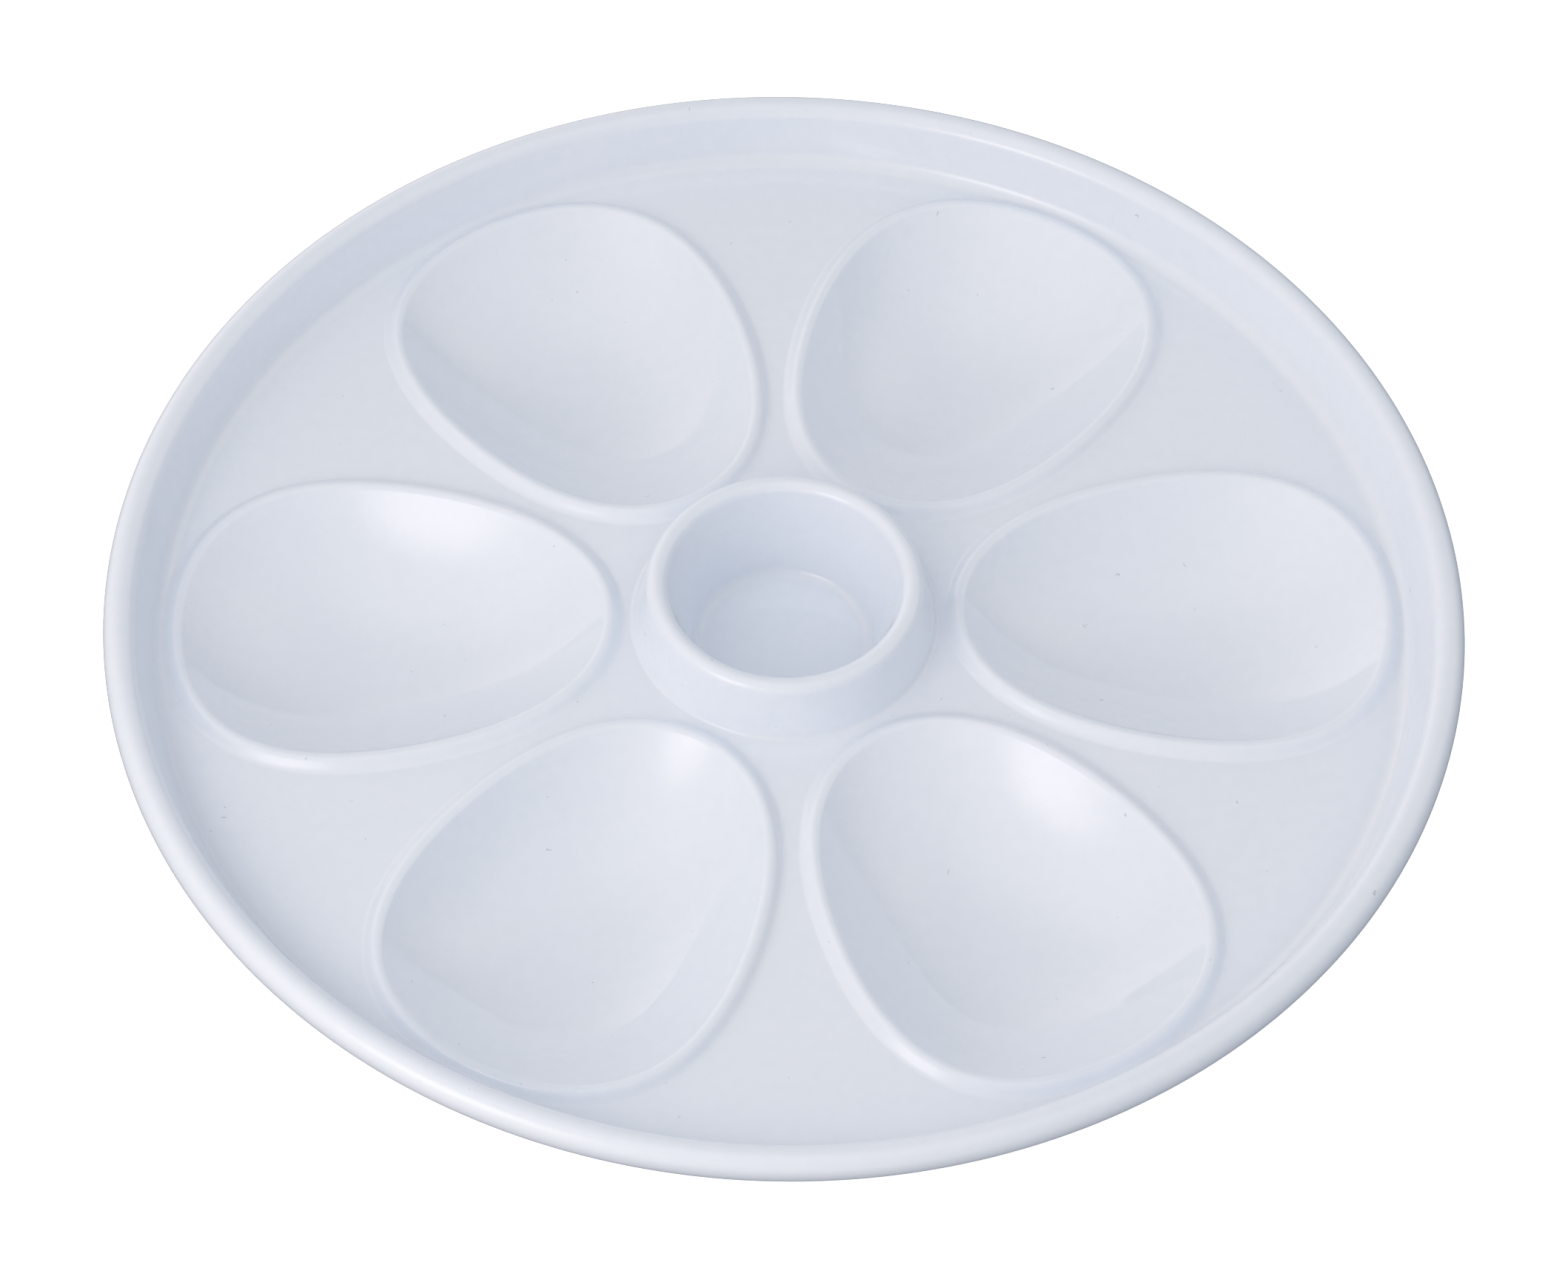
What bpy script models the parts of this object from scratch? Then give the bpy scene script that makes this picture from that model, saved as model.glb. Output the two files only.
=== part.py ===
"""Mixing palette: a round tray in one moulding, with egg-shaped wells around a raised cup.

The palette stands on small pads under its wells, with its base on Z = 0 and its axis on Z.
One well lies along +X. Run with: blender --background --python part.py
"""

from math import asin, atan, atan2, cos, degrees, pi, radians, sin, sqrt, tan

import bmesh
import bpy
from mathutils import Matrix, Vector

# Driving dimensions, in metres and degrees.
PALETTE_RADIUS = 0.127
WALL = 0.003
WELLS = 6

WELL_DEPTH = 0.0158
BEAD_RISE = 0.0017
BEAD_WIDTH = 0.003
BEAD_CLEARANCE = 0.00045
WEB_CLEARANCE = 0.0009
CREST_RADIUS = 0.0018
WELL_TO_WALL = 0.00075
EGG_BLUNTNESS = 0.186
EGG_FULLNESS = 0.145
BOWL_POWER = 2.3

LIP_RADIUS = 0.0031
LIP_RISE = 0.0114
LIP_UNDERCUT = 0.0026
LIP_EDGE_RADIUS = 0.0009
TUCK_RADIUS = 0.0012
WALL_LEAN = 20
FLOOR_FILLET = 0.0035

CUP_RADIUS = 0.024
CUP_LIP_RADIUS = 0.0021
CUP_RISE = 0.0115
CUP_DEPTH = 0.0192
CUP_OUTER_LEAN = 15
CUP_INNER_LEAN = 17
CUP_BASE_FILLET = 0.001
CUP_FLOOR_FILLET = 0.0025
GROOVE_RADIUS = 0.001

BULGE_INSET = 0.0008
BULGE_FILLET = 0.0018
BULGE_SHOULDER = 0.75
PAD_HALF_LENGTH = 0.0122
PAD_DRAFT = 0.0006

# Mesh density: edges along each side of one well's sector, and along its curves.
OUTER_EDGES = 10
SIDE_EDGES = 7
INNER_EDGES = 4
BOWL_STEPS = (0, 0.3, 0.52, 0.7, 0.86, 1)
BULGE_STEPS = (0.5, 0.7, 0.86)
CREST_STEPS = 2
BEAD_STEPS = 3
ARC_STEP = 26
WELD = 0.00001

# How finely the well's outline is searched and measured, in steps, halvings and radians.
OUTLINE_STEPS = 180
HALVINGS = 40
TANGENT_STEP = 0.0001

# Heights above the surface that the palette stands on.
SECTOR = 2 * pi / WELLS
BOWL_Z = WALL
CREST_Z = BOWL_Z + WELL_DEPTH
FLOOR_Z = CREST_Z - BEAD_RISE
UNDER_Z = FLOOR_Z - WALL
CUP_FLOOR_Z = FLOOR_Z + CUP_RISE - CUP_DEPTH


def toward(degrees, length=1.0):
    """A step of a length in the profile's (radius, height) plane."""
    return Vector((cos(radians(degrees)), sin(radians(degrees)))) * length


def arc(centre, radius, *angles):
    """Points on an arc of the profile that stops at each of the given angles."""
    points = [centre + toward(angles[0], radius)]
    for start, end in zip(angles, angles[1:]):
        steps = max(1, round(abs(end - start) / ARC_STEP))
        points += [centre + toward(start + (end - start) * i / steps, radius) for i in range(1, steps + 1)]
    return points


def crossing(start, direction, other_start, other_direction):
    """Where two lines of the profile plane meet."""
    gap = other_start - start
    turn = direction.cross(other_direction)
    return start + direction * (gap.cross(other_direction) / turn)


def rim_centres():
    """The centres of the lip's round and of the fillet between the floor and the wall."""
    lip = Vector((PALETTE_RADIUS - LIP_RADIUS, FLOOR_Z + LIP_RISE - LIP_RADIUS))
    wall_top = lip + toward(180 - WALL_LEAN, LIP_RADIUS)
    corner = toward(-WALL_LEAN, FLOOR_FILLET)
    run = (wall_top.y - FLOOR_Z - FLOOR_FILLET - corner.y) * tan(radians(WALL_LEAN))
    return lip, Vector((wall_top.x - run - corner.x, FLOOR_Z + FLOOR_FILLET))


def cup_centres():
    """The centres of the cup's lip, of its base fillet and of the fillet at its floor."""
    lip = Vector((CUP_RADIUS, FLOOR_Z + CUP_RISE - CUP_LIP_RADIUS))
    outside = lip + toward(CUP_OUTER_LEAN, CUP_LIP_RADIUS)
    corner = toward(180 + CUP_OUTER_LEAN, CUP_BASE_FILLET)
    drop = outside.y - FLOOR_Z - CUP_BASE_FILLET - corner.y
    base = Vector((outside.x + drop * tan(radians(CUP_OUTER_LEAN)) - corner.x, FLOOR_Z + CUP_BASE_FILLET))
    inside = lip + toward(180 - CUP_INNER_LEAN, CUP_LIP_RADIUS)
    corner = toward(-CUP_INNER_LEAN, CUP_FLOOR_FILLET)
    drop = inside.y - CUP_FLOOR_Z - CUP_FLOOR_FILLET - corner.y
    run = drop * tan(radians(CUP_INNER_LEAN))
    return lip, base, Vector((inside.x - run - corner.x, CUP_FLOOR_Z + CUP_FLOOR_FILLET))


LIP_CENTRE, FLOOR_CENTRE = rim_centres()
CUP_LIP_CENTRE, CUP_BASE_CENTRE, CUP_FLOOR_CENTRE = cup_centres()

# The floor runs from the cup's base to the wall; each well fills its sector of it.
INNER_RADIUS = CUP_BASE_CENTRE.x
FLOOR_RADIUS = FLOOR_CENTRE.x
MARGIN = BEAD_WIDTH + BEAD_CLEARANCE
WELL_INNER = INNER_RADIUS + MARGIN
WELL_OUTER = FLOOR_RADIUS - WELL_TO_WALL
JOIN_RADIUS = WELL_OUTER + MARGIN
WELL_HALF_LENGTH = (WELL_OUTER - WELL_INNER) / 2
WELL_MIDDLE = Vector(((WELL_OUTER + WELL_INNER) / 2, 0))


def fullness(angle):
    """The egg's half width at an angle of its outline, against its width scale."""
    return sin(angle) * (1 + EGG_BLUNTNESS * cos(angle) + EGG_FULLNESS * cos(angle) ** 2)


def well_width_scale():
    """The widest egg that leaves its bead, and a web of floor, on each side of a sector."""
    side_margin = BEAD_WIDTH + WEB_CLEARANCE
    found = []
    for step in range(1, OUTLINE_STEPS):
        angle = pi * step / OUTLINE_STEPS
        along = WELL_MIDDLE.x + WELL_HALF_LENGTH * cos(angle)
        room = along * tan(SECTOR / 2) - side_margin / cos(SECTOR / 2)
        found.append(room / fullness(angle))
    return min(found)


WIDTH_SCALE = well_width_scale()


def egg(angle):
    """A point of the well's outline, which its bead's crest follows."""
    return Vector((WELL_MIDDLE.x + WELL_HALF_LENGTH * cos(angle), WIDTH_SCALE * fullness(angle)))


def egg_towards(target):
    """The outline's point in the direction of a target, and the outline's outward normal there."""
    aim = target - WELL_MIDDLE
    bearing = abs(atan2(aim.y, aim.x))
    low, high = 0.0, pi
    for _ in range(HALVINGS):
        middle = (low + high) / 2
        point = egg(middle) - WELL_MIDDLE
        if atan2(point.y, point.x) < bearing:
            low = middle
        else:
            high = middle
    along = egg(high + TANGENT_STEP) - egg(high - TANGENT_STEP)
    side = -1 if aim.y < 0 else 1
    normal = Vector((along.y, -along.x * side)).normalized()
    point = egg(high)
    return Vector((point.x, point.y * side)), normal


def wall_rise(point):
    """How far the fillet at the foot of the wall lifts the floor at a point."""
    run = point.length - FLOOR_RADIUS
    if run <= 0:
        return 0.0
    return FLOOR_FILLET - sqrt(FLOOR_FILLET**2 - run**2)


def sector_border(outer_radius):
    """Points around one well's sector: outer arc, side, inner arc and the other side."""
    half = SECTOR / 2
    outer = [outer_radius * Vector((cos(a), sin(a))) for a in steps_between(-half, half, OUTER_EDGES)]
    inner = [INNER_RADIUS * Vector((cos(a), sin(a))) for a in steps_between(half, -half, INNER_EDGES)]
    floor_end = FLOOR_RADIUS * Vector((cos(half), sin(half)))
    side = side_points(floor_end, inner[0])
    if outer_radius > FLOOR_RADIUS:
        side.insert(0, floor_end)
    other_side = [Vector((point.x, -point.y)) for point in reversed(side)]
    return outer + side + inner + other_side


def steps_between(start, end, edges):
    """Evenly spaced values from the start to the end, both included."""
    return [start + (end - start) * i / edges for i in range(edges + 1)]


def side_points(start, end):
    """Points on a sector's straight side, at even bearings from the well's middle."""
    bearings = [atan2(point.y, point.x - WELL_MIDDLE.x) for point in (start, end)]
    points = []
    for bearing in steps_between(*bearings, SIDE_EDGES)[1:-1]:
        ray = Vector((cos(bearing), sin(bearing)))
        points.append(crossing(WELL_MIDDLE, ray, start, end - start))
    return points


def top_spoke(border):
    """The upper surface from the well's lowest point, over its bead, to the sector's border."""
    crest, outward = egg_towards(border)
    lean = atan(BOWL_POWER * WELL_DEPTH / (crest - WELL_MIDDLE).length)
    brow = crest - outward * CREST_RADIUS * sin(lean)
    brow_z = CREST_Z - CREST_RADIUS * (1 - cos(lean))
    spoke = []
    for share in BOWL_STEPS:
        height = BOWL_Z + (brow_z - BOWL_Z) * share**BOWL_POWER
        spoke.append((WELL_MIDDLE.lerp(brow, share), height))
    for step in range(1, CREST_STEPS + 1):
        angle = lean * (1 - step / CREST_STEPS)
        height = CREST_Z - CREST_RADIUS * (1 - cos(angle))
        spoke.append((crest - outward * CREST_RADIUS * sin(angle), height))
    for step in range(1, BEAD_STEPS + 1):
        share = step / BEAD_STEPS
        point = crest + outward * BEAD_WIDTH * share
        height = FLOOR_Z + BEAD_RISE * (1 + cos(pi * share)) / 2
        spoke.append((point, height + wall_rise(point)))
    foot = spoke[-1][0]
    share = 0.5
    if border.length > FLOOR_RADIUS:
        share = max(share, (FLOOR_RADIUS - foot.length) / (border.length - foot.length))
    for point in (foot.lerp(border, share), border):
        spoke.append((point, FLOOR_Z + wall_rise(point)))
    return spoke


def under_spoke(border):
    """The underside from the middle of a well's pad, up its bulge, to the sector's border."""
    crest, outward = egg_towards(border)
    root = crest - outward * BULGE_INSET
    reach = (root - WELL_MIDDLE).length
    pad = PAD_HALF_LENGTH / WELL_HALF_LENGTH
    shares = (pad + PAD_DRAFT / reach, *BULGE_STEPS, 1 - BULGE_FILLET / reach)
    spoke = [(WELL_MIDDLE, 0.0), (WELL_MIDDLE.lerp(root, pad), 0.0)]
    for share in shares:
        spoke.append((WELL_MIDDLE.lerp(root, share), UNDER_Z * share**BOWL_POWER))
    shoulder = spoke[-1][1] + (UNDER_Z - spoke[-1][1]) * BULGE_SHOULDER
    spoke.append((root, shoulder))
    spoke.append((root + outward * BULGE_FILLET / 2, UNDER_Z))
    spoke.append((border, UNDER_Z))
    return spoke


def add_sectors(mesh, border, spoke_of):
    """Lofts a spoke to each point of a sector's border, once for every well."""
    spokes = [spoke_of(point) for point in border]
    for well in range(WELLS):
        turn = Matrix.Rotation(SECTOR * well, 3, "Z")
        columns = [[mesh.verts.new(turn @ Vector((*p, z))) for p, z in spoke] for spoke in spokes]
        for column, following in zip(columns, columns[1:] + columns[:1]):
            for i in range(len(column) - 1):
                mesh.faces.new((column[i], column[i + 1], following[i + 1], following[i]))


def add_turned(mesh, profile, steps):
    """Turns a profile of (radius, height) points about the palette's axis."""
    points = [mesh.verts.new((point.x, 0, point.y)) for point in profile]
    edges = [mesh.edges.new(pair) for pair in zip(points, points[1:])]
    bmesh.ops.spin(
        mesh,
        geom=points + edges,
        cent=(0, 0, 0),
        axis=(0, 0, 1),
        angle=2 * pi,
        steps=steps,
        use_merge=True,
    )


def rim_profile():
    """The wall and the lip: from the floor's edge, up, over, and back under to the underside."""
    join_angle = -90 + degrees(asin((JOIN_RADIUS - FLOOR_RADIUS) / FLOOR_FILLET))
    profile = arc(FLOOR_CENTRE, FLOOR_FILLET, join_angle, -WALL_LEAN)
    drop = LIP_UNDERCUT - LIP_EDGE_RADIUS
    across = sqrt((LIP_RADIUS - LIP_EDGE_RADIUS) ** 2 - drop**2)
    edge_angle = -degrees(atan(drop / across))
    edge_centre = LIP_CENTRE + Vector((across, -drop))
    profile += arc(LIP_CENTRE, LIP_RADIUS, 180 - WALL_LEAN, 90, 0, edge_angle)
    profile += arc(edge_centre, LIP_EDGE_RADIUS, edge_angle, -90)[1:]
    outside = FLOOR_CENTRE + toward(-WALL_LEAN, FLOOR_FILLET + WALL + TUCK_RADIUS)
    level = Vector((0, profile[-1].y - TUCK_RADIUS))
    tuck_centre = crossing(outside, toward(90 - WALL_LEAN), level, Vector((1, 0)))
    profile += arc(tuck_centre, TUCK_RADIUS, 90, 180 - WALL_LEAN)
    profile += arc(FLOOR_CENTRE, FLOOR_FILLET + WALL, -WALL_LEAN, -90)
    return profile


def cup_profile():
    """The cup's upper surface, from the floor around it to the middle of the cup's own floor."""
    profile = arc(CUP_BASE_CENTRE, CUP_BASE_FILLET, -90, -180 + CUP_OUTER_LEAN)
    profile += arc(CUP_LIP_CENTRE, CUP_LIP_RADIUS, CUP_OUTER_LEAN, 90, 180 - CUP_INNER_LEAN)
    profile += arc(CUP_FLOOR_CENTRE, CUP_FLOOR_FILLET, -CUP_INNER_LEAN, -90)
    profile.append(Vector((0, CUP_FLOOR_Z)))
    return profile


def groove_profile():
    """The underside below the cup: its own floor, a groove inside the cup's wall, and out."""
    inner_side = toward(-CUP_INNER_LEAN)
    outer_side = toward(180 + CUP_OUTER_LEAN)
    inner_start = CUP_LIP_CENTRE - inner_side * CUP_LIP_RADIUS + inner_side * (WALL + GROOVE_RADIUS)
    outer_start = CUP_LIP_CENTRE - outer_side * CUP_LIP_RADIUS + outer_side * (WALL + GROOVE_RADIUS)
    centre = crossing(
        inner_start, toward(90 - CUP_INNER_LEAN), outer_start, toward(90 + CUP_OUTER_LEAN)
    )
    profile = [Vector((0, CUP_FLOOR_Z - WALL))]
    profile += arc(CUP_FLOOR_CENTRE, CUP_FLOOR_FILLET + WALL, -90, -CUP_INNER_LEAN)
    profile += arc(centre, GROOVE_RADIUS, 180 - CUP_INNER_LEAN, CUP_OUTER_LEAN)
    profile += arc(CUP_BASE_CENTRE, CUP_BASE_FILLET + WALL, -180 + CUP_OUTER_LEAN, -90)
    return profile


def melamine():
    """Hard glossy white plastic with a faint blue cast."""
    material = bpy.data.materials.new("gloss_melamine")
    material.use_nodes = True
    surface = material.node_tree.nodes["Principled BSDF"]
    surface.inputs["Base Color"].default_value = (0.72, 0.76, 0.82, 1)
    surface.inputs["Roughness"].default_value = 0.12
    surface.inputs["Metallic"].default_value = 0
    surface.inputs["IOR"].default_value = 1.6
    return material


def build_palette(collection):
    """The whole moulding: sectors above and below, the turned rim and the turned cup."""
    mesh = bmesh.new()
    add_sectors(mesh, sector_border(JOIN_RADIUS), top_spoke)
    add_sectors(mesh, sector_border(FLOOR_RADIUS), under_spoke)
    add_turned(mesh, rim_profile(), WELLS * OUTER_EDGES)
    add_turned(mesh, cup_profile(), WELLS * INNER_EDGES)
    add_turned(mesh, groove_profile(), WELLS * INNER_EDGES)
    bmesh.ops.remove_doubles(mesh, verts=mesh.verts, dist=WELD)
    bmesh.ops.recalc_face_normals(mesh, faces=mesh.faces)
    data = bpy.data.meshes.new("palette")
    mesh.to_mesh(data)
    mesh.free()
    data.shade_smooth()
    data.materials.append(melamine())
    collection.objects.link(bpy.data.objects.new("palette", data))


def main():
    for old in list(bpy.data.objects):
        bpy.data.objects.remove(old)
    collection = bpy.data.collections.new("mixing_palette")
    bpy.context.scene.collection.children.link(collection)
    build_palette(collection)


main()
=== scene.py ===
"""A mixing palette: one moulding of glossy white melamine, on a white studio table.

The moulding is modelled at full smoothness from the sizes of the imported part, and stands for it.
"""

from math import asin, atan, atan2, cos, degrees, pi, radians, sin, sqrt, tan

import bmesh
import bpy
from mathutils import Matrix, Vector


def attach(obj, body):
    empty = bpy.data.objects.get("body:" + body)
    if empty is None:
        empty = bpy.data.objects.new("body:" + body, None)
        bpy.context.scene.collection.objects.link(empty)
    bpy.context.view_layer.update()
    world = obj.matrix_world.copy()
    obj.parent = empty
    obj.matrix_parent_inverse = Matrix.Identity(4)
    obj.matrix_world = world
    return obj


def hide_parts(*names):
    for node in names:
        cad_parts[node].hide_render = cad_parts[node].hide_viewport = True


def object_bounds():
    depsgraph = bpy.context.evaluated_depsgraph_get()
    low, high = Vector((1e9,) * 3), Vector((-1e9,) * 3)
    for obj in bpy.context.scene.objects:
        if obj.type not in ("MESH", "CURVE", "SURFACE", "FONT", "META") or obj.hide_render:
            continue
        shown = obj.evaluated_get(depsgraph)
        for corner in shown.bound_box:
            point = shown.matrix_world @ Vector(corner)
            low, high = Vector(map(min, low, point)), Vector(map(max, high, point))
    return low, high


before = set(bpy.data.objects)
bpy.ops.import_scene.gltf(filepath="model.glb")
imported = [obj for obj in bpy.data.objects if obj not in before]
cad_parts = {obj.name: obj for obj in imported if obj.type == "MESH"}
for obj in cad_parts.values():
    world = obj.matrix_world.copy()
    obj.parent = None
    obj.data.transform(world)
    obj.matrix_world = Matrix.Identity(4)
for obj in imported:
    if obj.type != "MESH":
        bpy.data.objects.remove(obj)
CAD_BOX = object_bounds()

# Sizes of the moulding, in metres and degrees.
PALETTE_RADIUS = (CAD_BOX[1].x - CAD_BOX[0].x) / 2
WALL = 0.003
WELLS = 6

WELL_DEPTH = 0.0158
BEAD_RISE = 0.0017
BEAD_WIDTH = 0.003
BEAD_CLEARANCE = 0.00045
WEB_CLEARANCE = 0.0009
CREST_RADIUS = 0.0018
WELL_TO_WALL = 0.00075
EGG_BLUNTNESS = 0.186
EGG_FULLNESS = 0.145
BOWL_POWER = 2.3

LIP_RADIUS = 0.0031
LIP_RISE = 0.0114
LIP_UNDERCUT = 0.0026
LIP_EDGE_RADIUS = 0.0009
TUCK_RADIUS = 0.0012
WALL_LEAN = 20
FLOOR_FILLET = 0.0035

CUP_RADIUS = 0.024
CUP_LIP_RADIUS = 0.0021
CUP_RISE = 0.0115
CUP_DEPTH = 0.0192
CUP_OUTER_LEAN = 15
CUP_INNER_LEAN = 17
CUP_BASE_FILLET = 0.001
CUP_FLOOR_FILLET = 0.0025
GROOVE_RADIUS = 0.001

BULGE_INSET = 0.0008
BULGE_FILLET = 0.0018
PAD_HALF_LENGTH = 0.0122
PAD_DRAFT = 0.0006
PAD_ROUND = 0.0003

# Heights above the table.
SECTOR = 2 * pi / WELLS
BOWL_Z = WALL
CREST_Z = BOWL_Z + WELL_DEPTH
FLOOR_Z = CREST_Z - BEAD_RISE
UNDER_Z = FLOOR_Z - WALL
CUP_FLOOR_Z = FLOOR_Z + CUP_RISE - CUP_DEPTH

# How finely the surfaces are divided. A ring close beside each flat keeps the shading of a
# fillet from spreading over the flat.
OUTER_EDGES = 48
SIDE_EDGES = 34
UNDER_SIDE_EDGES = 16
INNER_EDGES = 20
BOWL_RINGS = 24
CREST_RINGS = 9
BEAD_RINGS = 12
FLOOR_RINGS = 4
FOOT_RINGS = 8
BULGE_RINGS = 12
PAD_RINGS = 4
ARC_STEP = 7
EASE = 0.00015
LONG_RUN = 0.001
WELD = 0.000002

# How closely the well's outline is searched: trials of its width, halvings of an angle, and a
# small turn in radians that gives its direction.
WIDTH_TRIALS = 180
HALVINGS = 40
SMALL_TURN = 0.0001

# The melamine: how it bends light, and how rough it is where clean, fingered and worn.
MELAMINE_IOR = 1.6
CLEAN_ROUGHNESS = 0.035
FINGERED_ROUGHNESS = 0.08
WORN_ROUGHNESS = 0.4

# Its clouds, dust, wear and polish, in millimetres. A streak of wear is stretched to a number of
# times its width, and turned by an angle in radians.
CLOUD_WIDTH = 40
MOTTLE_WIDTH = 2.5
SPECK_SPACING = 6
SPECK_RADIUS_LEAST = 0.09
SPECK_RADIUS_MOST = 0.21
FIBRE_CURL = 2.2
FIBRE_SPACING = 9
FIBRE_REACH = 0.45
FIBRE_REACH_END = 0.585
RUBBED_HEIGHT = 0.1
RUBBED_HEIGHT_END = 0.5
STREAK_WIDTH = 1.5
STREAK_STRETCH = 12
STREAK_TURN = 0.6
FINGER_WIDTH = 18
WAVE_LENGTH = 14
WAVE_HEIGHT = 0.02
PEEL_WIDTH = 1.2
PEEL_HEIGHT = 0.0005

# The camera, in metres and degrees, with its lens and its sensor in millimetres.
CAMERA_AIM = Vector((-0.0003, -0.0074, CREST_Z))
CAMERA_DISTANCE = 0.8236
CAMERA_AZIMUTH = -92.58
CAMERA_ELEVATION = 52.7
CAMERA_ROLL = 1.33
CAMERA_LENS = 100.85
CAMERA_SENSOR = 36
CAMERA_CLIP = 0.01

# The table, and the glow that keeps it plain white.
TABLE_SIZE = 6
TABLE_ROUGHNESS = 0.9
TABLE_GLOW = 0.75

# The room: cool shade from everywhere, dimmed below the horizon, and patches of glow, each with
# its azimuth and elevation in degrees, its narrowness, its brightness and its tint.
SHADE_TINT = "#D5E6FC"
SHADE_BRIGHTNESS = 0.33
DIM_SHARE = 0.7
DIM_DEPTH = 0.2
GLOWS = (
    (232, 26, 3, 1.16, "#FFF0E2"),
    (285, 5, 12, 0.35, "#FFFCF8"),
    (120, 5, 6, 1.15, "#FFF3EA"),
    (30, 35, 12, 0.8, "#FFEDDA"),
    (0, 90, 12, 0.46, "#FFFCF8"),
    (165, 50, 12, 0.45, "#FFEAD0"),
    (345, 50, 12, 0.42, "#FFFCF8"),
)

# The lamp near the tray, in metres and watts.
LAMP_PLACE = Vector((-0.19, -0.21, 0.19))
LAMP_TARGET = Vector((0, 0, CREST_Z))
LAMP_SIZE = 0.28
LAMP_POWER = 0.41


def toward(angle, length=1.0):
    """A step of a length in the profile's (radius, height) plane, at an angle in degrees."""
    return Vector((cos(radians(angle)), sin(radians(angle)))) * length


def even_steps(start, end, edges):
    """Evenly spaced values from the start to the end, both included."""
    return [start + (end - start) * i / edges for i in range(edges + 1)]


def arc(centre, radius, *angles):
    """Points on an arc of the profile that stops at each of the given angles."""
    points = [centre + toward(angles[0], radius)]
    for start, end in zip(angles, angles[1:]):
        steps = max(1, round(abs(end - start) / ARC_STEP))
        for angle in even_steps(start, end, steps)[1:]:
            points.append(centre + toward(angle, radius))
    return points


def crossing(start, direction, other_start, other_direction):
    """Where two lines of the profile plane meet."""
    gap = other_start - start
    return start + direction * (gap.cross(other_direction) / direction.cross(other_direction))


def rim_centres():
    """The centres of the lip's round and of the fillet between the floor and the wall."""
    lip = Vector((PALETTE_RADIUS - LIP_RADIUS, FLOOR_Z + LIP_RISE - LIP_RADIUS))
    wall_top = lip + toward(180 - WALL_LEAN, LIP_RADIUS)
    corner = toward(-WALL_LEAN, FLOOR_FILLET)
    run = (wall_top.y - FLOOR_Z - FLOOR_FILLET - corner.y) * tan(radians(WALL_LEAN))
    return lip, Vector((wall_top.x - run - corner.x, FLOOR_Z + FLOOR_FILLET))


def cup_centres():
    """The centres of the cup's lip, of its base fillet and of the fillet at its floor."""
    lip = Vector((CUP_RADIUS, FLOOR_Z + CUP_RISE - CUP_LIP_RADIUS))
    outside = lip + toward(CUP_OUTER_LEAN, CUP_LIP_RADIUS)
    corner = toward(180 + CUP_OUTER_LEAN, CUP_BASE_FILLET)
    drop = outside.y - FLOOR_Z - CUP_BASE_FILLET - corner.y
    run = drop * tan(radians(CUP_OUTER_LEAN))
    base = Vector((outside.x + run - corner.x, FLOOR_Z + CUP_BASE_FILLET))
    inside = lip + toward(180 - CUP_INNER_LEAN, CUP_LIP_RADIUS)
    corner = toward(-CUP_INNER_LEAN, CUP_FLOOR_FILLET)
    drop = inside.y - CUP_FLOOR_Z - CUP_FLOOR_FILLET - corner.y
    run = drop * tan(radians(CUP_INNER_LEAN))
    return lip, base, Vector((inside.x - run - corner.x, CUP_FLOOR_Z + CUP_FLOOR_FILLET))


LIP_CENTRE, FLOOR_CENTRE = rim_centres()
CUP_LIP_CENTRE, CUP_BASE_CENTRE, CUP_FLOOR_CENTRE = cup_centres()

# The floor runs from the cup's base to the wall; each well fills its sector of it.
INNER_RADIUS = CUP_BASE_CENTRE.x
FLOOR_RADIUS = FLOOR_CENTRE.x
MARGIN = BEAD_WIDTH + BEAD_CLEARANCE
WELL_INNER = INNER_RADIUS + MARGIN
WELL_OUTER = FLOOR_RADIUS - WELL_TO_WALL
JOIN_RADIUS = WELL_OUTER + MARGIN
WELL_HALF_LENGTH = (WELL_OUTER - WELL_INNER) / 2
WELL_MIDDLE = Vector(((WELL_OUTER + WELL_INNER) / 2, 0))


def fullness(angle):
    """The egg's half width at an angle of its outline, against its width scale."""
    return sin(angle) * (1 + EGG_BLUNTNESS * cos(angle) + EGG_FULLNESS * cos(angle) ** 2)


def well_width_scale():
    """The widest egg that leaves its bead, and a web of floor, on each side of a sector."""
    side_margin = BEAD_WIDTH + WEB_CLEARANCE
    found = []
    for trial in range(1, WIDTH_TRIALS):
        angle = pi * trial / WIDTH_TRIALS
        along = WELL_MIDDLE.x + WELL_HALF_LENGTH * cos(angle)
        room = along * tan(SECTOR / 2) - side_margin / cos(SECTOR / 2)
        found.append(room / fullness(angle))
    return min(found)


WIDTH_SCALE = well_width_scale()


def egg(angle):
    """A point of the well's outline, which its bead's crest follows."""
    return Vector((WELL_MIDDLE.x + WELL_HALF_LENGTH * cos(angle), WIDTH_SCALE * fullness(angle)))


def egg_towards(target):
    """The outline's point in the direction of a target, and the outline's outward normal there."""
    aim = target - WELL_MIDDLE
    bearing = abs(atan2(aim.y, aim.x))
    low, high = 0.0, pi
    for _ in range(HALVINGS):
        middle = (low + high) / 2
        point = egg(middle) - WELL_MIDDLE
        if atan2(point.y, point.x) < bearing:
            low = middle
        else:
            high = middle
    along = egg(high + SMALL_TURN) - egg(high - SMALL_TURN)
    side = -1 if aim.y < 0 else 1
    normal = Vector((along.y, -along.x * side)).normalized()
    point = egg(high)
    return Vector((point.x, point.y * side)), normal


def side_points(start, end, edges):
    """Points on a sector's straight side, at even bearings from the well's middle."""
    bearings = [atan2(point.y, point.x - WELL_MIDDLE.x) for point in (start, end)]
    points = []
    for bearing in even_steps(*bearings, edges)[1:-1]:
        ray = Vector((cos(bearing), sin(bearing)))
        points.append(crossing(WELL_MIDDLE, ray, start, end - start))
    return points


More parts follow.
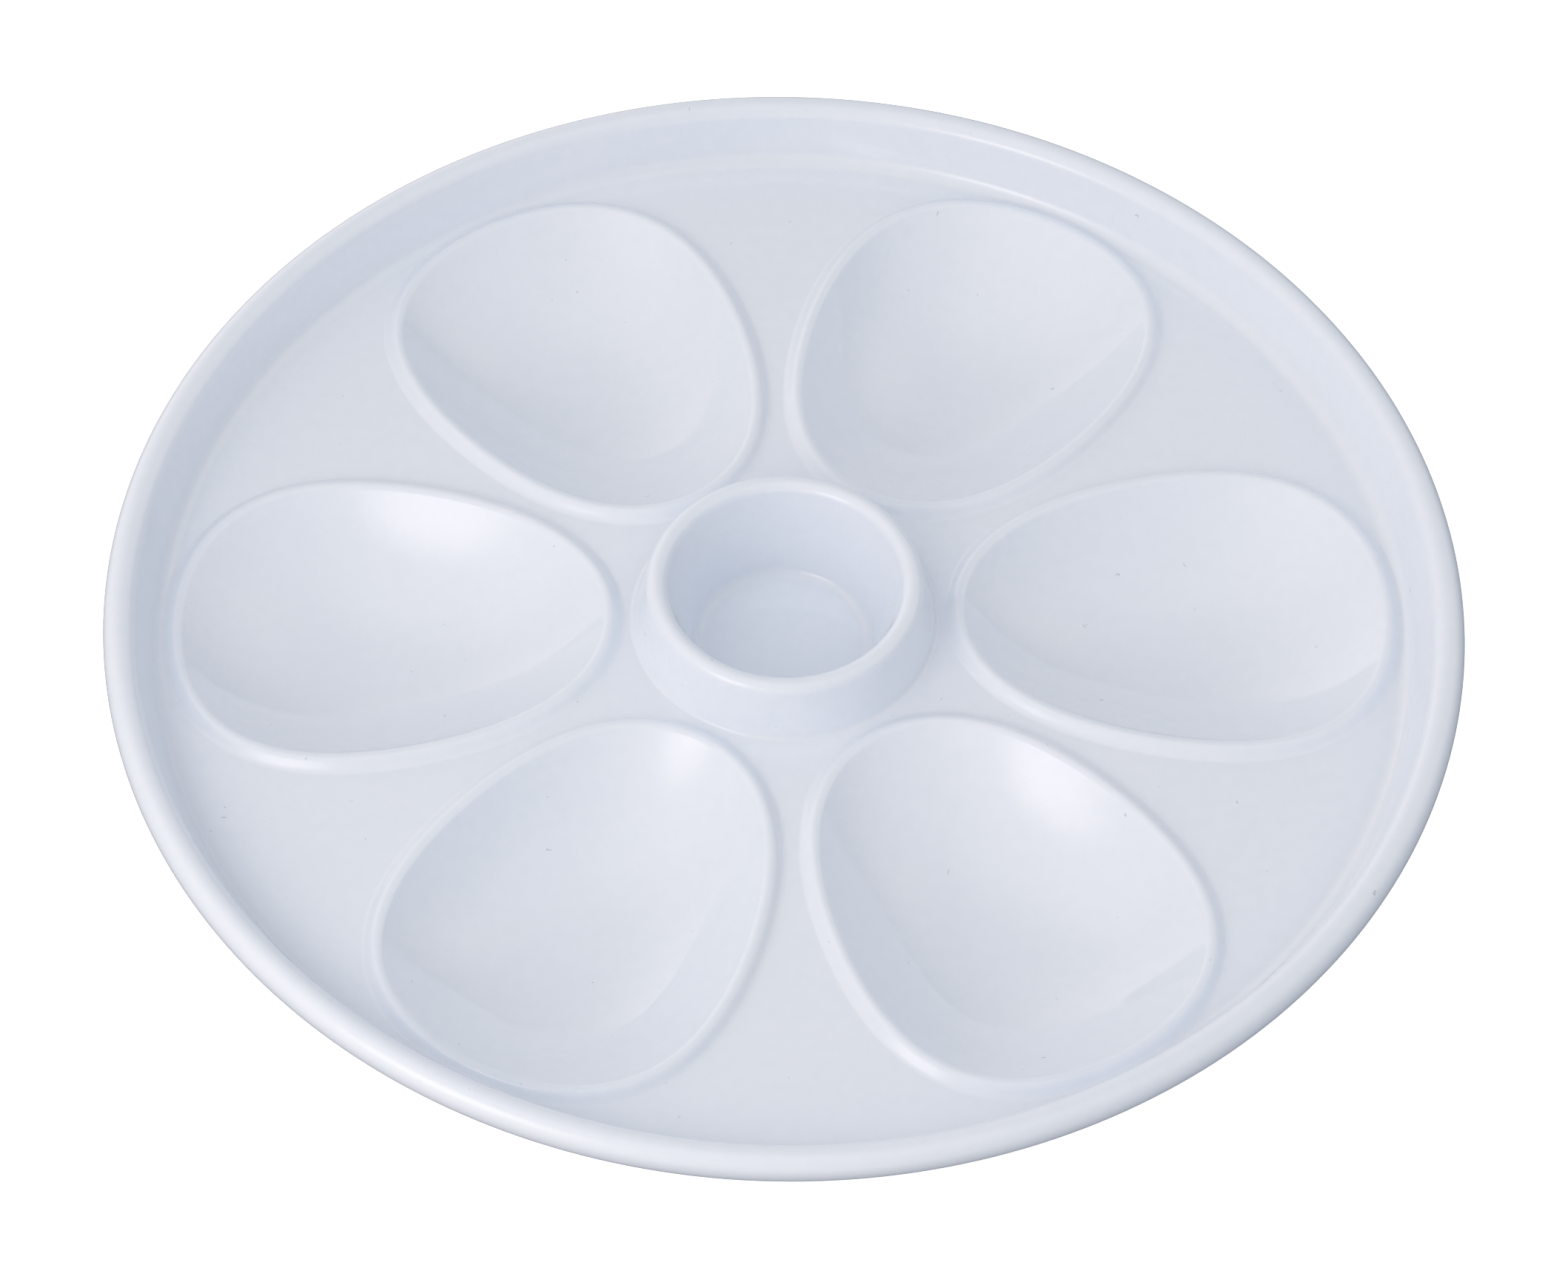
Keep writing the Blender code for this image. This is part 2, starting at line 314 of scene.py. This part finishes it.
def sector_border(outer_radius, side_edges):
    """Points around one well's sector: outer arc, side, inner arc and the other side."""
    half = SECTOR / 2
    outer = [outer_radius * Vector((cos(a), sin(a))) for a in even_steps(-half, half, OUTER_EDGES)]
    inner = [INNER_RADIUS * Vector((cos(a), sin(a))) for a in even_steps(half, -half, INNER_EDGES)]
    floor_end = FLOOR_RADIUS * Vector((cos(half), sin(half)))
    side = side_points(floor_end, inner[0], side_edges)
    if outer_radius > FLOOR_RADIUS:
        shares = even_steps(0, 1, FOOT_RINGS)[1:]
        side = [outer[-1].lerp(floor_end, share) for share in shares] + side
    other_side = [Vector((point.x, -point.y)) for point in reversed(side)]
    return outer + side + inner + other_side


def floor_height(point):
    """The height of the tray's floor, or of the fillet that leads from it up the wall."""
    run = point.length - FLOOR_RADIUS
    if run <= 0:
        return FLOOR_Z
    return FLOOR_Z + (FLOOR_FILLET - sqrt(FLOOR_FILLET**2 - run**2))


def floor_shares(foot, border):
    """Where the rings cross the floor: along the flat, and then up the fillet of the wall."""
    flat = 1.0
    if border.length > FLOOR_RADIUS:
        flat = max(0.0, (FLOOR_RADIUS - foot.length) / (border.length - foot.length))
    ease = min(EASE / (border - foot).length, flat / 3)
    return even_steps(ease, flat - ease, FLOOR_RINGS) + even_steps(flat, 1, FOOT_RINGS)


def top_spoke(border):
    """The upper surface from beside the well's lowest point, over its bead, to the border."""
    crest, outward = egg_towards(border)
    lean = atan(BOWL_POWER * WELL_DEPTH / (crest - WELL_MIDDLE).dot(outward))
    brow = crest - outward * CREST_RADIUS * sin(lean)
    brow_z = CREST_Z - CREST_RADIUS * (1 - cos(lean))
    last = 1 - EASE / (brow - WELL_MIDDLE).length
    spoke = []
    for share in even_steps(0, last, BOWL_RINGS)[1:] + [1]:
        height = BOWL_Z + (brow_z - BOWL_Z) * share**BOWL_POWER
        spoke.append((WELL_MIDDLE.lerp(brow, share), height))
    for angle in even_steps(lean, 0, CREST_RINGS)[1:]:
        height = CREST_Z - CREST_RADIUS * (1 - cos(angle))
        spoke.append((crest - outward * CREST_RADIUS * sin(angle), height))
    for share in even_steps(0, 1, BEAD_RINGS)[1:]:
        point = crest + outward * BEAD_WIDTH * share
        spoke.append((point, floor_height(point) + BEAD_RISE * (1 + cos(pi * share)) / 2))
    foot = spoke[-1][0]
    for share in floor_shares(foot, border):
        point = foot.lerp(border, share)
        spoke.append((point, floor_height(point)))
    return spoke


def under_spoke(border):
    """The underside from the edge of a well's flat pad, up its bulge, to the sector's border."""
    crest, outward = egg_towards(border)
    root = crest - outward * BULGE_INSET
    reach = (root - WELL_MIDDLE).length
    pad = PAD_HALF_LENGTH / WELL_HALF_LENGTH
    spoke = []
    for angle in even_steps(-90, 0, PAD_RINGS):
        corner = toward(angle, PAD_ROUND)
        share = pad + (corner.x - PAD_ROUND) / reach
        spoke.append((WELL_MIDDLE.lerp(root, share), PAD_ROUND + corner.y))
    for share in even_steps(pad + PAD_DRAFT / reach, 1 - BULGE_FILLET / reach, BULGE_RINGS):
        spoke.append((WELL_MIDDLE.lerp(root, share), UNDER_Z * share**BOWL_POWER))
    start, start_z = spoke[-1]
    end = root + outward * BULGE_FILLET / 2
    rise = UNDER_Z - start_z
    slope = BOWL_POWER * start_z / (start - WELL_MIDDLE).dot(outward)
    power = slope * (end - start).dot(outward) / rise
    for share in even_steps(0, 1, PAD_RINGS)[1:]:
        spoke.append((start.lerp(end, share), UNDER_Z - rise * (1 - share) ** power))
    spoke.append((end.lerp(border, EASE / (border - end).length), UNDER_Z))
    spoke.append((border, UNDER_Z))
    return spoke


def place(ring, spoke_of, spokes, level):
    """Moves each vertex of a ring to its own spoke's point at that level."""
    for vert in ring:
        point, height = spokes[vert[spoke_of]][level]
        vert.co = (*point, height)


def add_sector(mesh, spoke_of, spokes, middle_z):
    """A disc on the well's middle, extruded outward ring by ring along the spokes."""
    disc = bmesh.ops.create_circle(
        mesh,
        cap_ends=True,
        cap_tris=True,
        segments=len(spokes),
        radius=MARGIN,
        matrix=Matrix.Translation((*WELL_MIDDLE, middle_z)),
    )
    ring = [vert for vert in disc["verts"] if vert.is_boundary]
    edges = {edge for vert in ring for edge in vert.link_edges if edge.is_boundary}
    for number, vert in enumerate(ring):
        vert[spoke_of] = number
    place(ring, spoke_of, spokes, 0)
    for level in range(1, len(spokes[0])):
        grown = bmesh.ops.extrude_edge_only(mesh, edges=list(edges))["geom"]
        edges = [item for item in grown if isinstance(item, bmesh.types.BMEdge)]
        ring = [item for item in grown if isinstance(item, bmesh.types.BMVert)]
        place(ring, spoke_of, spokes, level)


def repeat_sector(mesh):
    """Copies all of a sector round the palette's axis, once for each other well."""
    bmesh.ops.spin(
        mesh,
        geom=mesh.verts[:] + mesh.edges[:] + mesh.faces[:],
        cent=(0, 0, 0),
        axis=(0, 0, 1),
        angle=SECTOR * (WELLS - 1),
        steps=WELLS - 1,
        use_duplicate=True,
    )


def eased(profile):
    """The profile with a point close to each end of its long straight runs."""
    points = [profile[0]]
    for start, end in zip(profile, profile[1:]):
        run = (end - start).length
        if run > LONG_RUN:
            points += [start.lerp(end, EASE / run), end.lerp(start, EASE / run)]
        points.append(end)
    return points


def add_turned(mesh, profile, steps):
    """Turns a profile of (radius, height) points about the palette's axis."""
    points = [mesh.verts.new((point.x, 0, point.y)) for point in eased(profile)]
    edges = [mesh.edges.new(pair) for pair in zip(points, points[1:])]
    bmesh.ops.spin(
        mesh,
        geom=points + edges,
        cent=(0, 0, 0),
        axis=(0, 0, 1),
        angle=2 * pi,
        steps=steps,
        use_merge=True,
    )


def rim_profile():
    """The wall and the lip: from the floor's edge, up, over, and back under to the underside."""
    join_angle = -90 + degrees(asin((JOIN_RADIUS - FLOOR_RADIUS) / FLOOR_FILLET))
    profile = arc(FLOOR_CENTRE, FLOOR_FILLET, join_angle, -WALL_LEAN)
    drop = LIP_UNDERCUT - LIP_EDGE_RADIUS
    across = sqrt((LIP_RADIUS - LIP_EDGE_RADIUS) ** 2 - drop**2)
    edge_angle = -degrees(atan(drop / across))
    edge_centre = LIP_CENTRE + Vector((across, -drop))
    profile += arc(LIP_CENTRE, LIP_RADIUS, 180 - WALL_LEAN, 90, 0, edge_angle)
    profile += arc(edge_centre, LIP_EDGE_RADIUS, edge_angle, -90)[1:]
    outside = FLOOR_CENTRE + toward(-WALL_LEAN, FLOOR_FILLET + WALL + TUCK_RADIUS)
    level = Vector((0, profile[-1].y - TUCK_RADIUS))
    tuck_centre = crossing(outside, toward(90 - WALL_LEAN), level, Vector((1, 0)))
    profile += arc(tuck_centre, TUCK_RADIUS, 90, 180 - WALL_LEAN)
    profile += arc(FLOOR_CENTRE, FLOOR_FILLET + WALL, -WALL_LEAN, -90)
    return profile


def cup_profile():
    """The cup's upper surface, from the floor around it to the middle of the cup's own floor."""
    profile = arc(CUP_BASE_CENTRE, CUP_BASE_FILLET, -90, -180 + CUP_OUTER_LEAN)
    profile += arc(CUP_LIP_CENTRE, CUP_LIP_RADIUS, CUP_OUTER_LEAN, 90, 180 - CUP_INNER_LEAN)
    profile += arc(CUP_FLOOR_CENTRE, CUP_FLOOR_FILLET, -CUP_INNER_LEAN, -90)
    profile.append(Vector((0, CUP_FLOOR_Z)))
    return profile


def groove_profile():
    """The underside below the cup: its own floor, a groove inside the cup's wall, and out."""
    inner_side = toward(-CUP_INNER_LEAN)
    outer_side = toward(180 + CUP_OUTER_LEAN)
    inset = WALL + GROOVE_RADIUS - CUP_LIP_RADIUS
    centre = crossing(
        CUP_LIP_CENTRE + inner_side * inset,
        toward(90 - CUP_INNER_LEAN),
        CUP_LIP_CENTRE + outer_side * inset,
        toward(90 + CUP_OUTER_LEAN),
    )
    profile = [Vector((0, CUP_FLOOR_Z - WALL))]
    profile += arc(CUP_FLOOR_CENTRE, CUP_FLOOR_FILLET + WALL, -90, -CUP_INNER_LEAN)
    profile += arc(centre, GROOVE_RADIUS, 180 - CUP_INNER_LEAN, CUP_OUTER_LEAN)
    profile += arc(CUP_BASE_CENTRE, CUP_BASE_FILLET + WALL, -180 + CUP_OUTER_LEAN, -90)
    return profile


def build_palette():
    """The whole moulding: sectors above and below, the turned rim and the turned cup."""
    data = bpy.data.meshes.new("palette_moulding")
    sectors = bmesh.new()
    spoke_of = sectors.verts.layers.int.new("spoke")
    top = [top_spoke(point) for point in sector_border(JOIN_RADIUS, SIDE_EDGES)]
    add_sector(sectors, spoke_of, top, BOWL_Z)
    under = [under_spoke(point) for point in sector_border(FLOOR_RADIUS, UNDER_SIDE_EDGES)]
    add_sector(sectors, spoke_of, under, 0)
    sectors.verts.layers.int.remove(spoke_of)
    repeat_sector(sectors)
    sectors.to_mesh(data)
    sectors.free()
    mesh = bmesh.new()
    add_turned(mesh, rim_profile(), WELLS * OUTER_EDGES)
    add_turned(mesh, cup_profile(), WELLS * INNER_EDGES)
    add_turned(mesh, groove_profile(), WELLS * INNER_EDGES)
    mesh.from_mesh(data)
    bmesh.ops.remove_doubles(mesh, verts=mesh.verts, dist=WELD)
    bmesh.ops.recalc_face_normals(mesh, faces=mesh.faces)
    mesh.to_mesh(data)
    mesh.free()
    data.shade_smooth()
    palette = bpy.data.objects.new("palette_moulding", data)
    bpy.context.scene.collection.objects.link(palette)
    return palette


def linear(colour):
    """A linear RGBA colour from an sRGB hex value."""
    channels = [int(colour[i : i + 2], 16) / 255 for i in (1, 3, 5)]
    return (*((c / 12.92 if c <= 0.04045 else ((c + 0.055) / 1.055) ** 2.4) for c in channels), 1)


def add_node(tree, kind, settings=None, links=None):
    """A shader node with its settings, and links into its sockets, by socket name or number."""
    node = tree.nodes.new(kind)
    for name, value in (settings or {}).items():
        if isinstance(name, str) and hasattr(node, name):
            setattr(node, name, value)
        else:
            node.inputs[name].default_value = value
    for name, source in (links or {}).items():
        tree.links.new(source, node.inputs[name])
    return node


def per_metre(millimetres):
    """A pattern's scale from the real size of one of its features."""
    return 1000 / millimetres


def glossy_melamine():
    """Compression-moulded melamine, with the polish of its steel mould.

    To the eye: a cold white, shiny as glazed china, whose reflections are sharp but waver a
    little; faint clouds in the white, a few specks and fibres of dust, the bloom of fingers, and
    grey feet where the tray slides on a table.
    """
    material = bpy.data.materials.new("glossy_white_melamine")
    material.use_nodes = True
    tree = material.node_tree
    surface = tree.nodes["Principled BSDF"]
    surface.inputs["IOR"].default_value = MELAMINE_IOR
    place_on = add_node(tree, "ShaderNodeTexCoord").outputs["Object"]

    # The white: clouds a few centimetres wide, with a mottle of a few millimetres over them.
    clouds = add_node(
        tree,
        "ShaderNodeTexNoise",
        {"Scale": per_metre(CLOUD_WIDTH), "Detail": 2},
        {"Vector": place_on},
    )
    cloudy = add_node(
        tree,
        "ShaderNodeMix",
        {"data_type": "RGBA", 6: linear("#E8F0FA"), 7: linear("#ECF2FC")},
        {"Factor": clouds.outputs["Fac"]},
    )
    mottle = add_node(
        tree,
        "ShaderNodeTexNoise",
        {"Scale": per_metre(MOTTLE_WIDTH), "Detail": 3},
        {"Vector": place_on},
    )
    mottled = add_node(
        tree,
        "ShaderNodeMix",
        {"data_type": "RGBA", "blend_type": "MULTIPLY", 7: linear("#F8FAFB")},
        {"Factor": mottle.outputs["Fac"], 6: cloudy.outputs[2]},
    )

    # Dust: round specks 0.2 to 0.4 mm across, about one in ten square centimetres.
    speck_cells = add_node(
        tree, "ShaderNodeTexVoronoi", {"Scale": per_metre(SPECK_SPACING)}, {"Vector": place_on}
    )
    speck_size = add_node(
        tree,
        "ShaderNodeMapRange",
        {"To Min": SPECK_RADIUS_LEAST / SPECK_SPACING, "To Max": SPECK_RADIUS_MOST / SPECK_SPACING},
        {"Value": speck_cells.outputs["Color"]},
    )
    speck_share = add_node(
        tree,
        "ShaderNodeMath",
        {"operation": "DIVIDE"},
        {0: speck_cells.outputs["Distance"], 1: speck_size.outputs[0]},
    )
    speck = add_node(
        tree,
        "ShaderNodeMapRange",
        {"From Min": 0.5, "From Max": 1, "To Min": 0.4, "To Max": 0},
        {"Value": speck_share.outputs[0]},
    )

    # Fibres: short curved hairs, where a level line of noise crosses a spot 1 mm wide.
    curls = add_node(
        tree,
        "ShaderNodeTexNoise",
        {"Scale": per_metre(FIBRE_CURL), "Detail": 0},
        {"Vector": place_on},
    )
    off_line = add_node(
        tree, "ShaderNodeMath", {"operation": "SUBTRACT", 1: 0.5}, {0: curls.outputs["Fac"]}
    )
    off_line = add_node(
        tree, "ShaderNodeMath", {"operation": "ABSOLUTE"}, {0: off_line.outputs[0]}
    )
    line = add_node(
        tree,
        "ShaderNodeMapRange",
        {"From Min": 0.012, "From Max": 0.03, "To Min": 1, "To Max": 0},
        {"Value": off_line.outputs[0]},
    )
    fibre_cells = add_node(
        tree, "ShaderNodeTexVoronoi", {"Scale": per_metre(FIBRE_SPACING)}, {"Vector": place_on}
    )
    spot = add_node(
        tree,
        "ShaderNodeMapRange",
        {
            "From Min": FIBRE_REACH / FIBRE_SPACING,
            "From Max": FIBRE_REACH_END / FIBRE_SPACING,
            "To Min": 0.35,
            "To Max": 0,
        },
        {"Value": fibre_cells.outputs["Distance"]},
    )
    fibre = add_node(
        tree, "ShaderNodeMath", {"operation": "MULTIPLY"}, {0: line.outputs[0], 1: spot.outputs[0]}
    )
    dust = add_node(
        tree, "ShaderNodeMath", {"operation": "MAXIMUM"}, {0: speck.outputs[0], 1: fibre.outputs[0]}
    )
    dusty = add_node(
        tree,
        "ShaderNodeMix",
        {"data_type": "RGBA", 7: linear("#5C6470")},
        {"Factor": dust.outputs[0], 6: mottled.outputs[2]},
    )

    # The feet: rubbed grey and dull up to half a millimetre above the table, in 1.5 mm streaks.
    height = add_node(tree, "ShaderNodeSeparateXYZ", links={0: place_on}).outputs["Z"]
    near_table = add_node(
        tree,
        "ShaderNodeMapRange",
        {
            "From Min": RUBBED_HEIGHT / 1000,
            "From Max": RUBBED_HEIGHT_END / 1000,
            "To Min": 1,
            "To Max": 0,
        },
        {"Value": height},
    )
    long_way = add_node(
        tree,
        "ShaderNodeMapping",
        {
            "vector_type": "TEXTURE",
            "Rotation": (0, 0, STREAK_TURN),
            "Scale": (STREAK_STRETCH, 1, 1),
        },
        {"Vector": place_on},
    )
    streaks = add_node(
        tree,
        "ShaderNodeTexNoise",
        {"Scale": per_metre(STREAK_WIDTH), "Detail": 4},
        {"Vector": long_way.outputs[0]},
    )
    streaky = add_node(
        tree,
        "ShaderNodeMapRange",
        {"From Min": 0.4, "From Max": 0.6},
        {"Value": streaks.outputs["Fac"]},
    )
    rubbed = add_node(
        tree,
        "ShaderNodeMath",
        {"operation": "MULTIPLY"},
        {0: near_table.outputs[0], 1: streaky.outputs[0]},
    )
    coloured = add_node(
        tree,
        "ShaderNodeMix",
        {"data_type": "RGBA", 7: linear("#B9BCC2")},
        {"Factor": rubbed.outputs[0], 6: dusty.outputs[2]},
    )
    tree.links.new(coloured.outputs[2], surface.inputs["Base Color"])

    # The gloss: mirror-smooth, dulled a little by finger marks, and dull on dust and on the feet.
    fingers = add_node(
        tree,
        "ShaderNodeTexNoise",
        {"Scale": per_metre(FINGER_WIDTH), "Detail": 5},
        {"Vector": place_on},
    )
    bloom = add_node(
        tree,
        "ShaderNodeMapRange",
        {
            "From Min": 0.5,
            "From Max": 0.75,
            "To Min": CLEAN_ROUGHNESS,
            "To Max": FINGERED_ROUGHNESS,
        },
        {"Value": fingers.outputs["Fac"]},
    )
    wear = add_node(
        tree, "ShaderNodeMath", {"operation": "MAXIMUM"}, {0: dust.outputs[0], 1: rubbed.outputs[0]}
    )
    dulled = add_node(
        tree,
        "ShaderNodeMath",
        {"operation": "MULTIPLY_ADD", 1: WORN_ROUGHNESS},
        {0: wear.outputs[0], 2: bloom.outputs[0]},
    )
    tree.links.new(dulled.outputs[0], surface.inputs["Roughness"])

    # The polish: waves 14 mm long and 0.02 mm high, and an orange peel of 1.2 mm over them.
    waves = add_node(
        tree,
        "ShaderNodeTexNoise",
        {"Scale": per_metre(WAVE_LENGTH), "Detail": 1},
        {"Vector": place_on},
    )
    wavy = add_node(
        tree,
        "ShaderNodeBump",
        {"Distance": WAVE_HEIGHT / 1000},
        {"Height": waves.outputs["Fac"]},
    )
    peel = add_node(
        tree,
        "ShaderNodeTexNoise",
        {"Scale": per_metre(PEEL_WIDTH), "Detail": 1},
        {"Vector": place_on},
    )
    polished = add_node(
        tree,
        "ShaderNodeBump",
        {"Distance": PEEL_HEIGHT / 1000},
        {"Height": peel.outputs["Fac"], "Normal": wavy.outputs[0]},
    )
    tree.links.new(polished.outputs[0], surface.inputs["Normal"])
    return material


def studio_table():
    """A plain white table top, which glows a little and neither lights nor shades the tray."""
    mesh = bmesh.new()
    bmesh.ops.create_grid(mesh, x_segments=1, y_segments=1, size=TABLE_SIZE / 2)
    data = bpy.data.meshes.new("studio_table")
    mesh.to_mesh(data)
    mesh.free()
    # Matt white paper: even and without sheen, so that nothing shows in it.
    material = bpy.data.materials.new("white_backdrop_paper")
    material.use_nodes = True
    surface = material.node_tree.nodes["Principled BSDF"]
    surface.inputs["Base Color"].default_value = linear("#F7F7F7")
    surface.inputs["Roughness"].default_value = TABLE_ROUGHNESS
    surface.inputs["Emission Color"].default_value = linear("#FFFFFF")
    surface.inputs["Emission Strength"].default_value = TABLE_GLOW
    data.materials.append(material)
    table = bpy.data.objects.new("studio_table", data)
    table.visible_diffuse = False
    table.visible_glossy = False
    table.visible_shadow = False
    bpy.context.scene.collection.objects.link(table)
    return table


def bearing_vector(azimuth, elevation):
    """A unit vector towards an azimuth and an elevation in degrees."""
    around, up = radians(azimuth), radians(elevation)
    return Vector((cos(around) * cos(up), sin(around) * cos(up), sin(up)))


def add_glow(tree, view, light, azimuth, elevation, narrowness, brightness, tint):
    """Adds to the room's light one patch with no edge, brightest in one direction."""
    towards = add_node(
        tree,
        "ShaderNodeVectorMath",
        {"operation": "DOT_PRODUCT", 1: bearing_vector(azimuth, elevation)},
        {0: view},
    )
    fall = add_node(
        tree,
        "ShaderNodeMath",
        {"operation": "MULTIPLY_ADD", 1: narrowness, 2: -narrowness},
        {0: towards.outputs["Value"]},
    )
    patch = add_node(tree, "ShaderNodeMath", {"operation": "EXPONENT"}, {0: fall.outputs[0]})
    total = add_node(
        tree,
        "ShaderNodeVectorMath",
        {"operation": "MULTIPLY_ADD", 1: Vector(linear(tint)[:3]) * brightness},
        {0: patch.outputs[0], 2: light},
    )
    return total.outputs[0]


def studio_room():
    """Soft light from a pale room: cool shade, and glows, the widest at the front left."""
    world = bpy.data.worlds.new("studio")
    world.use_nodes = True
    bpy.context.scene.world = world
    tree = world.node_tree
    view = add_node(tree, "ShaderNodeTexCoord").outputs["Generated"]
    light = add_node(tree, "ShaderNodeRGB").outputs[0]
    light.default_value = Vector(linear(SHADE_TINT)) * SHADE_BRIGHTNESS
    for glow in GLOWS:
        light = add_glow(tree, view, light, *glow)
    background = tree.nodes["Background"]
    tree.links.new(light, background.inputs["Color"])
    height = add_node(tree, "ShaderNodeSeparateXYZ", links={0: view}).outputs["Z"]
    dim_below = add_node(
        tree,
        "ShaderNodeMapRange",
        {"From Min": -DIM_DEPTH, "From Max": 0, "To Min": DIM_SHARE, "To Max": 1},
        {"Value": height},
    )
    tree.links.new(dim_below.outputs[0], background.inputs["Strength"])


def near_lamp():
    """A small soft lamp close to the tray, which fades from its middle to its edge."""
    light = bpy.data.lights.new("near_lamp", "AREA")
    light.shape = "DISK"
    light.size = LAMP_SIZE
    light.energy = LAMP_POWER
    light.color = linear("#FFF2E8")[:3]
    light.use_nodes = True
    tree = light.node_tree
    across = add_node(tree, "ShaderNodeNewGeometry").outputs["Parametric"]
    from_middle = add_node(
        tree, "ShaderNodeVectorMath", {"operation": "DISTANCE", 1: (0.5, 0.5, 0)}, {0: across}
    )
    fade = add_node(
        tree,
        "ShaderNodeMapRange",
        {"interpolation_type": "SMOOTHERSTEP", "From Max": 0.5, "To Min": 1, "To Max": 0},
        {"Value": from_middle.outputs["Value"]},
    )
    tree.links.new(fade.outputs[0], tree.nodes["Emission"].inputs["Strength"])
    lamp = bpy.data.objects.new("near_lamp", light)
    lamp.location = LAMP_PLACE
    lamp.rotation_euler = (LAMP_TARGET - LAMP_PLACE).to_track_quat("-Z", "Y").to_euler()
    lamp.visible_camera = False
    bpy.context.scene.collection.objects.link(lamp)


def camera():
    """A long lens from in front and above, turned a little about its own axis."""
    data = bpy.data.cameras.new("camera")
    data.lens = CAMERA_LENS
    data.sensor_width = CAMERA_SENSOR
    data.clip_start = CAMERA_CLIP
    viewer = bpy.data.objects.new("camera", data)
    back = bearing_vector(CAMERA_AZIMUTH, CAMERA_ELEVATION)
    facing = (-back).to_track_quat("-Z", "Y").to_matrix()
    turn = (facing @ Matrix.Rotation(radians(CAMERA_ROLL), 3, "Z")).to_4x4()
    viewer.matrix_world = Matrix.Translation(CAMERA_AIM + back * CAMERA_DISTANCE) @ turn
    bpy.context.scene.collection.objects.link(viewer)
    bpy.context.scene.camera = viewer


camera()
palette = build_palette()
palette.data.materials.append(glossy_melamine())
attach(palette, "root")
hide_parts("palette")
studio_table()
studio_room()
near_lamp()
bpy.context.scene.view_settings.view_transform = "Standard"
